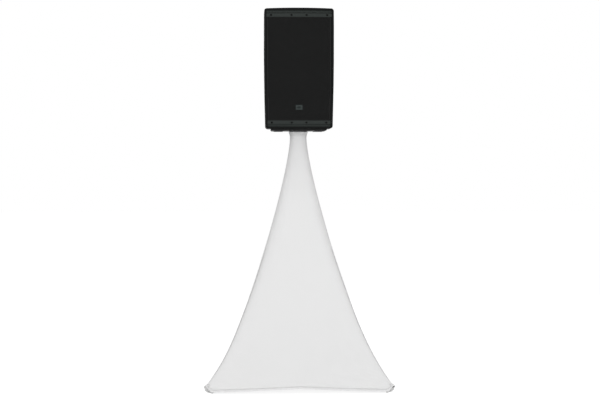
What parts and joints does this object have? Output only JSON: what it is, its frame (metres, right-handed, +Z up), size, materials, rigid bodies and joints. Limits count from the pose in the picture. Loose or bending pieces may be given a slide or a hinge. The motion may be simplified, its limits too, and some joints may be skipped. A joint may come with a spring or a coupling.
{
  "type": "loudspeaker on tripod stand",
  "caption": "Upright powered loudspeaker with a full front grille on a folding tripod pole stand, dressed in a white stretch cloth cover that spreads to the feet.",
  "frame": {"origin": "on the floor, on the axis of the pole", "axes": "+Z up along the pole, -Y out of the front of the speaker, +X to the right seen from the front"},
  "size_m": [1.0126, 0.8888, 2.0448],
  "materials": {
    "cabinet_plastic": "moulded, fine grain",
    "grille_steel": "powder coated",
    "grille_foam": "open foam",
    "trim_plastic": "moulded, fine grain",
    "black_screw": "black oxide",
    "badge_plastic": "satin",
    "driver_metal": "black paint",
    "magnet_steel": "plated",
    "cone_paper": "pressed paper",
    "surround_rubber": "matt",
    "coil_copper": "wound wire",
    "spider_cloth": "treated cloth",
    "horn_plastic": "moulded",
    "port_plastic": "moulded",
    "amp_panel_metal": "satin paint",
    "heat_sink_metal": "black anodised",
    "circuit_board": "board",
    "coil_former": "wound parts",
    "steel_screw": "plated",
    "socket_plastic": "moulded",
    "led_lens": "clear lens",
    "handle_plastic": "moulded",
    "socket_metal": "black anodised",
    "plinth_plastic": "moulded",
    "pad_rubber": "matt",
    "insert_steel": "plated",
    "knob_plastic": "satin",
    "rocker_plastic": "gloss",
    "button_plastic": "satin",
    "tube_paint": "black powder coat",
    "hub_plastic": "moulded",
    "pin_steel": "plated",
    "cap_plastic": "moulded",
    "wing_plastic": "moulded",
    "foot_rubber": "matt",
    "brace_metal": "black powder coat",
    "cover_cloth": "stretch knit"
  },
  "bodies": {
    "base": {"outer_tube": "tube_paint", "leg_hub": "hub_plastic", "hub_pins": "pin_steel", "tube_cap": "cap_plastic", "mast_clamp": "hub_plastic", "cover": "cover_cloth"},
    "mast": {"mast_tube": "tube_paint", "load_flange": "hub_plastic"},
    "speaker": {"cabinet_front": "cabinet_plastic", "cabinet_rear": "cabinet_plastic", "grille": "grille_steel", "grille_foam": "grille_foam", "trim_bar_top": "trim_plastic", "trim_bar_bottom": "trim_plastic", "grille_screws": "black_screw", "badge": "badge_plastic", "woofer_basket": "driver_metal", "woofer_magnet": "magnet_steel", "woofer_cone": "cone_paper", "woofer_surround": "surround_rubber", "dust_cap": "cone_paper", "voice_coil": "coil_copper", "spider": "spider_cloth", "woofer_screws": "black_screw", "horn": "horn_plastic", "horn_screws": "black_screw", "compression_driver": "driver_metal", "port_tubes": "port_plastic", "amp_panel": "amp_panel_metal", "heat_sink": "heat_sink_metal", "amp_board": "circuit_board", "power_supply": "coil_former", "amp_screws": "steel_screw", "xlr_sockets": "socket_plastic", "power_inlet": "socket_plastic", "status_leds": "led_lens", "handle_cups": "handle_plastic", "pole_socket": "socket_metal", "plinth": "plinth_plastic", "plinth_pads": "pad_rubber", "rigging_inserts": "insert_steel"},
    "upper_knob": {"mast_clamp_knob": "wing_plastic"},
    "rear_leg": {"leg_1": "tube_paint", "foot_1": "foot_rubber"},
    "left_leg": {"leg_2": "tube_paint", "foot_2": "foot_rubber"},
    "right_leg": {"leg_3": "tube_paint", "foot_3": "foot_rubber"},
    "rear_brace": {"brace_1": "brace_metal"},
    "left_brace": {"brace_2": "brace_metal"},
    "right_brace": {"brace_3": "brace_metal"},
    "collar": {"brace_collar": "hub_plastic"},
    "lower_knob": {"collar_knob": "wing_plastic"},
    "gain_a": {"gain_knob_a": "knob_plastic"},
    "gain_b": {"gain_knob_b": "knob_plastic"},
    "main_level": {"main_knob": "knob_plastic"},
    "rocker": {"power_rocker": "rocker_plastic"},
    "button_a": {"line_button_a": "button_plastic"},
    "button_b": {"line_button_b": "button_plastic"},
    "button_eq": {"eq_button": "button_plastic"}
  },
  "joints": [
    {"name": "mast_slide", "type": "slide", "parent": "base", "child": "mast", "axis": [0, 0, 1], "range_m": [-0.34, 0.24], "deforming": ["cover"]},
    {"name": "speaker_swivel", "type": "hinge", "parent": "mast", "child": "speaker", "pos_m": [0, 0, 1.39], "axis": [0, 0, 1], "continuous": true},
    {"name": "upper_knob_turn", "type": "hinge", "parent": "base", "child": "upper_knob", "pos_m": [0, 0.05, 0.892], "axis": [0, 1, 0], "range_deg": [0, 270]},
    {"name": "rear_leg_fold", "type": "hinge", "parent": "base", "child": "rear_leg", "pos_m": [0, 0.045, 0.54], "axis": [-1, 0, 0], "range_deg": [0, 39], "deforming": ["cover"]},
    {"name": "left_leg_fold", "type": "hinge", "parent": "base", "child": "left_leg", "pos_m": [-0.03897, -0.0225, 0.54], "axis": [0.5, -0.866, 0], "range_deg": [0, 39], "deforming": ["cover"]},
    {"name": "right_leg_fold", "type": "hinge", "parent": "base", "child": "right_leg", "pos_m": [0.03897, -0.0225, 0.54], "axis": [0.5, 0.866, 0], "range_deg": [0, 39], "deforming": ["cover"]},
    {"name": "rear_brace_fold", "type": "hinge", "parent": "rear_leg", "child": "rear_brace", "pos_m": [0, 0.20517, 0.37494], "axis": [1, 0, 0], "range_deg": [0, 78]},
    {"name": "left_brace_fold", "type": "hinge", "parent": "left_leg", "child": "left_brace", "pos_m": [-0.17768, -0.10258, 0.37494], "axis": [-0.5, 0.866, 0], "range_deg": [0, 78]},
    {"name": "right_brace_fold", "type": "hinge", "parent": "right_leg", "child": "right_brace", "pos_m": [0.17768, -0.10258, 0.37494], "axis": [-0.5, -0.866, 0], "range_deg": [0, 78]},
    {"name": "collar_slide", "type": "slide", "parent": "base", "child": "collar", "axis": [0, 0, -1], "range_m": [0, 0.12804]},
    {"name": "lower_knob_turn", "type": "hinge", "parent": "collar", "child": "lower_knob", "pos_m": [0.0433, 0.025, 0.20988], "axis": [0.866, 0.5, 0], "range_deg": [0, 270]},
    {"name": "gain_a_turn", "type": "hinge", "parent": "speaker", "child": "gain_a", "pos_m": [-0.048, 0.15, 1.657], "axis": [0, -1, 0], "range_deg": [-135, 135]},
    {"name": "gain_b_turn", "type": "hinge", "parent": "speaker", "child": "gain_b", "pos_m": [0.048, 0.15, 1.657], "axis": [0, -1, 0], "range_deg": [-135, 135]},
    {"name": "main_level_turn", "type": "hinge", "parent": "speaker", "child": "main_level", "pos_m": [0, 0.15, 1.645], "axis": [0, -1, 0], "range_deg": [-135, 135]},
    {"name": "rocker_tip", "type": "hinge", "parent": "speaker", "child": "rocker", "pos_m": [0.004, 0.143, 1.529], "axis": [-1, 0, 0], "range_deg": [0, 20]},
    {"name": "button_a_press", "type": "slide", "parent": "speaker", "child": "button_a", "axis": [0, -1, 0], "range_m": [0, 0.002], "stiffness_N_per_m": 300},
    {"name": "button_b_press", "type": "slide", "parent": "speaker", "child": "button_b", "axis": [0, -1, 0], "range_m": [0, 0.002], "stiffness_N_per_m": 300},
    {"name": "button_eq_press", "type": "slide", "parent": "speaker", "child": "button_eq", "axis": [0, -1, 0], "range_m": [0, 0.002], "stiffness_N_per_m": 300}
  ],
  "couplings": [
    {"joint": "left_leg_fold", "follows": "rear_leg_fold", "ratio": 1},
    {"joint": "right_leg_fold", "follows": "rear_leg_fold", "ratio": 1},
    {"joint": "rear_brace_fold", "follows": "rear_leg_fold", "ratio": 2},
    {"joint": "left_brace_fold", "follows": "rear_leg_fold", "ratio": 2},
    {"joint": "right_brace_fold", "follows": "rear_leg_fold", "ratio": 2},
    {"joint": "collar_slide", "follows": "rear_leg_fold", "m_per_rad": 0.18809}
  ]
}
